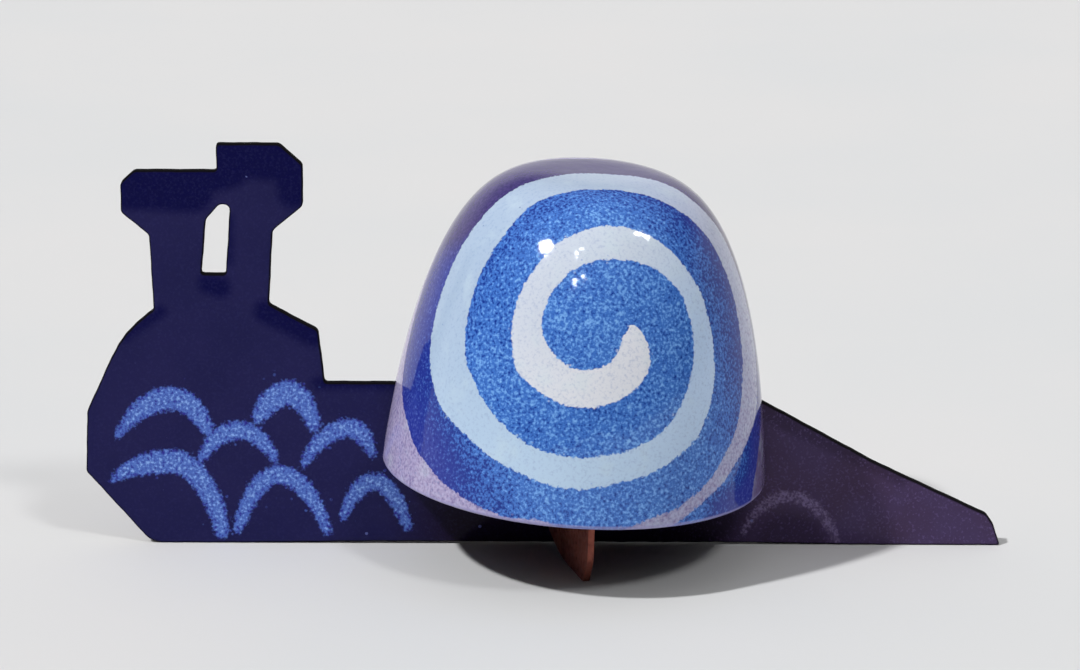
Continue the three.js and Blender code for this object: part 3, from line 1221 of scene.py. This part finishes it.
def build_body():
    """The dressed body, within the outlines of the CAD sheet."""
    pitch = drawn_pitch(BODY_PITCH)
    outer, *holes = sawn_outlines("body_plate", BODY_HALF - SAWN_EDGE)
    loops = [spread(loop, pitch) for loop in (*close_mouth(outer), *holes)]
    filling = grid_filling(loops, pitch)
    clear = pitch * EDGE_CLEARANCE
    sheet = Sheet(body_outline(loops), filling, BODY_HALF, BODY_EDGE_ROUND, clear)
    x, z = sheet.flat.T
    points = np.column_stack([x, -sheet.level, z])
    make_piece(
        "enamelled_body", points, sheet.faces,
        "snail_body", "body_plate",
        body_material(), body_fields(sheet, points),
    )


# The cross foot: bare copper sheet

COPPER = (linear(120, 60, 50), linear(172, 100, 84))
OXIDE = linear(52, 28, 28)


def copper_material():
    """Copper that fire has darkened, brushed a little and spotted with oxide."""
    shader = Shader("bare_copper")
    cloud = shader.noise(4.0, detail=4.0, seed=21.0)
    spots = shader.noise(0.8, detail=3.0, seed=22.0)
    colour = shader.mix(shader.step(cloud, -0.8, 0.8), *COPPER)
    colour = shader.mix(shader.step(spots, 0.1, 0.9, 0.0, 0.7), colour, OXIDE)
    return shader.surface(
        Base_Color=colour,
        Metallic=0.7,
        Roughness=shader.step(spots, -0.8, 0.8, 0.36, 0.6),
        Normal=shader.bump(spots, 0.5),
    )


def build_foot():
    """Gives the CAD foot its copper."""
    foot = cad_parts["cross_foot"]
    material = copper_material()
    for slot in foot.material_slots:
        slot.material = material


# The stage: a pale floor, round lamps and a plain bright sweep behind

FLOOR_SIZE = 6000.0
PAPER = (linear(212, 213, 214), linear(216, 215, 215))


def build_floor():
    """A wide sheet of pale paper."""
    shader = Shader("pale_paper")
    cloud = shader.noise(70.0, detail=3.0, seed=31.0)
    colour = shader.mix(shader.step(cloud, -1.0, 1.0), *PAPER)
    material = shader.surface(Base_Color=colour, Roughness=0.7, IOR=1.2)
    half = FLOOR_SIZE / 2 * MM
    mesh = bpy.data.meshes.new("floor")
    corners = [(-half, -half, 0), (half, -half, 0), (half, half, 0), (-half, half, 0)]
    mesh.from_pydata(corners, [], [[0, 1, 2, 3]])
    mesh.materials.append(material)
    floor = add_object("floor", mesh)


# The two lamps that light the scene: the angle to the right of the camera's side, the angle
# up, the width as an angle, and the light thrown on a white card turned to the lamp

LAMPS = {
    "key": (-64.0, 50.5, 3.0, 0.81),
    "right": (41.4, 51.0, 9.0, 0.2),
}

# The lamps that only the gloss shows: the same two, and the panes of two small windows

GLINTS = {
    "key_glint": (-47.4, 50.2, 9.0, 0.6),
    "right_glint": (72.5, 54.5, 4.5, 0.2),
    "right_glint_low": (74.5, 49.5, 4.0, 0.12),
    "window_high": (-11.0, 49.5, 3.0, 0.05),
    "window_high_top": (-5.5, 54.0, 3.0, 0.05),
    "window_low": (-9.5, 35.0, 3.0, 0.045),
    "window_low_side": (-2.7, 37.6, 3.0, 0.045),
}


def add_lamp(name, azimuth, elevation, width, light):
    """A round lamp that is far away, turned to the snail."""
    data = bpy.data.lights.new(name, "SUN")
    data.energy = light * math.pi
    data.angle = math.radians(width)
    lamp = add_object(name, data)
    side, up = math.radians(azimuth), math.radians(elevation)
    towards = Vector((
        math.sin(side) * math.cos(up),
        -math.cos(side) * math.cos(up),
        math.sin(up),
    ))
    turn = towards.to_track_quat("Z", "Y").to_matrix().to_4x4()
    lamp.matrix_world = Matrix.Translation(towards) @ turn
    return lamp


def add_lamps():
    """The lamps that light the scene, unseen by the gloss, and those that only it shows."""
    for name, numbers in LAMPS.items():
        add_lamp(name, *numbers).visible_glossy = False
    for name, numbers in GLINTS.items():
        add_lamp(name, *numbers).visible_diffuse = False


# The room: how bright its parts are, and between which heights and depths they come in, on a
# ball of radius 1 round the snail

BACKDROP = linear(222, 222, 222)
SWEEP_LIGHT = 0.74
CEILING_LIGHT = 0.44
ROOM_LIGHT = 0.01
CEILING_UP = (0.35, 0.8)
SWEEP_UP = (0.6, 0.25)
SWEEP_BACK = (-0.2, 0.3)


def add_world():
    """A dark room with a pale ceiling and a bright sweep low behind the snail.

    The camera sees plain pale paper in place of the room.
    """
    world = bpy.data.worlds.new("studio")
    bpy.context.scene.world = world
    world.use_nodes = True
    nodes = Nodes(world.node_tree)
    parts = nodes.add("SeparateXYZ")
    nodes.set(parts.inputs[0], nodes.add("TexCoord").outputs["Generated"])
    up, back = parts.outputs["Z"], parts.outputs["Y"]
    room = nodes.mix(nodes.step(up, *CEILING_UP), grey(ROOM_LIGHT), grey(CEILING_LIGHT))
    sweep = nodes.product(nodes.step(up, *SWEEP_UP), nodes.step(back, *SWEEP_BACK))
    room = nodes.mix(sweep, room, grey(SWEEP_LIGHT))
    path = nodes.add("LightPath")
    background = nodes.add("Background")
    seen = nodes.mix(path.outputs["Is Camera Ray"], room, BACKDROP)
    nodes.set(background.inputs["Color"], seen)
    nodes.set(nodes.add("OutputWorld").inputs["Surface"], background.outputs[0])


add_camera()
add_lamps()
add_world()
build_floor()
build_body()
build_shell()
build_foot()
bpy.context.scene.view_settings.view_transform = "Standard"
